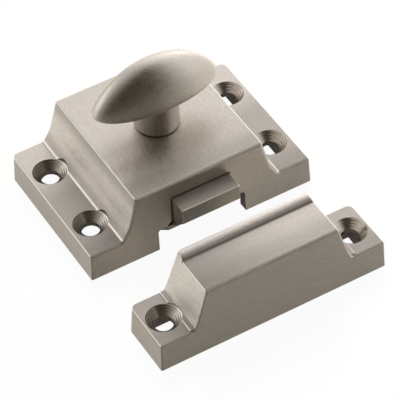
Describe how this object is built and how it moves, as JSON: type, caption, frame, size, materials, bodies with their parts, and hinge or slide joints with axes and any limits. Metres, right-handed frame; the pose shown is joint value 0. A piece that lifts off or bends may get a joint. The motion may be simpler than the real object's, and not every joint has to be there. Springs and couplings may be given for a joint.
{
  "type": "cupboard catch latch",
  "caption": "Surface-mounted cupboard catch: a raised latch case with an oval turn knob and a spring bolt, and a separate lipped keeper on the same mounting plane.",
  "frame": {"origin": "On the mounting plane, under the knob's axis, which is the centre of the latch's four screw holes.", "axes": "+X along the latch, +Y from the wall where the bolt comes out to the latch's back, +Z away from the mounting plane. The keeper stands on the -Y side."},
  "size_m": [0.054, 0.0656, 0.0356],
  "materials": {
    "satin_nickel": "satin nickel plate, brushed in one direction",
    "zinc_steel": "zinc-plated sheet and turned steel",
    "spring_steel": "bright spring wire"
  },
  "bodies": {
    "fixed": {"case": "satin_nickel", "keeper": "satin_nickel", "base_plate": "satin_nickel", "base_plate_screw_1": "zinc_steel", "base_plate_screw_2": "zinc_steel", "base_plate_screw_3": "zinc_steel", "base_plate_screw_4": "zinc_steel", "spring_left": "spring_steel", "spring_right": "spring_steel"},
    "knob": {"knob": "satin_nickel", "thrust_washer": "zinc_steel", "driver": "zinc_steel", "drive_pin": "zinc_steel", "driver_washer": "zinc_steel", "driver_screw": "zinc_steel"},
    "bolt": {"bolt": "satin_nickel"}
  },
  "joints": [
    {"name": "knob_turn", "type": "hinge", "parent": "fixed", "child": "knob", "pos_m": [0, 0, 0.0175], "axis": [0, 0, 1], "range_deg": [0, 46]},
    {"name": "bolt_slide", "type": "slide", "parent": "fixed", "child": "bolt", "axis": [0, 1, 0], "range_m": [0, 0.0045], "stiffness_N_per_m": 500, "springref_m": -0.006, "deforming": ["spring_left", "spring_right"]}
  ],
  "couplings": [
    {"joint": "knob_turn", "follows": "bolt_slide", "rad_per_m": 174.5}
  ]
}
